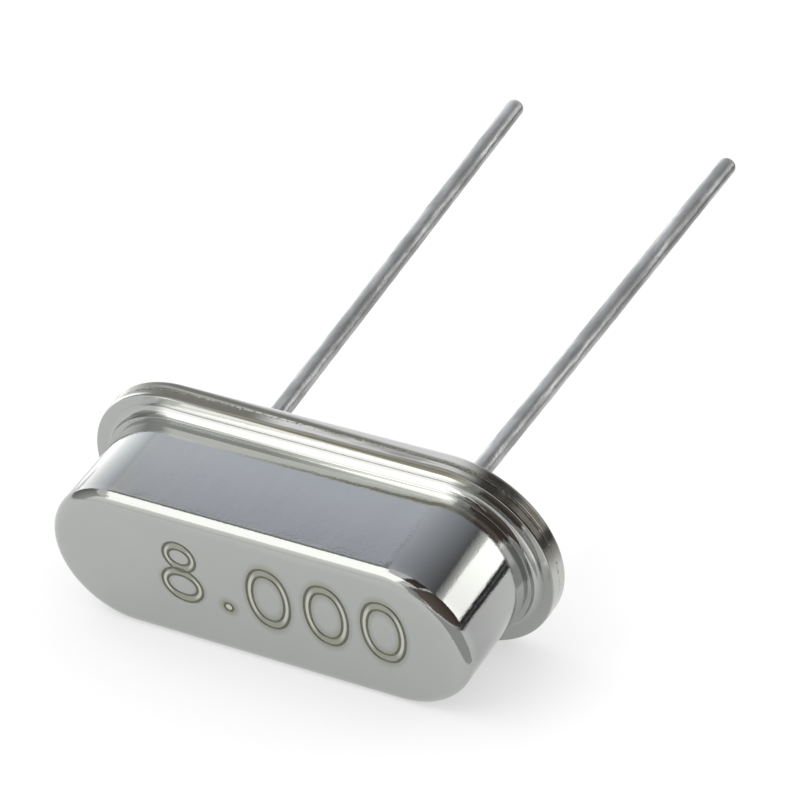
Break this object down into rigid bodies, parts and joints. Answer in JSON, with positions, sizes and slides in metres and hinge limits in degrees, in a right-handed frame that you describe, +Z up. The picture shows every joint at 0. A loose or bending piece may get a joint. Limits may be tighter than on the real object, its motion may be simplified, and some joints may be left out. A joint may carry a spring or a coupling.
{
  "type": "crystal oscillator",
  "caption": "Low-profile quartz crystal in a round-ended welded metal can with a stepped flange, glass-sealed base and straight wire leads, lying on its long side.",
  "frame": {"origin": "on the supporting surface, under the middle of the whole part as it lies on its long side", "axes": "+X along the can's long axis; +Y level, from the can's flat end towards the lead tips; +Z up"},
  "size_m": [0.011, 0.0166, 0.0058],
  "materials": {
    "can_steel": "nickel-plated drawn steel, satin",
    "base_steel": "nickel-plated pressed steel",
    "seal_glass": "dark sealing glass",
    "tinned_wire": "dull hot-dipped tin on wire",
    "clip_metal": "nickel silver strip",
    "quartz": "polished quartz",
    "silver_film": "evaporated silver film",
    "silver_resin": "cured silver-filled resin"
  },
  "bodies": {
    "root": {"can": "can_steel", "base": "base_steel", "glass_bead_left": "seal_glass", "glass_bead_right": "seal_glass", "lead_left": "tinned_wire", "lead_right": "tinned_wire", "clip_left": "clip_metal", "clip_right": "clip_metal", "quartz_blank": "quartz", "electrode_upper": "silver_film", "electrode_lower": "silver_film", "bond_left": "silver_resin", "bond_right": "silver_resin"}
  },
  "joints": []
}
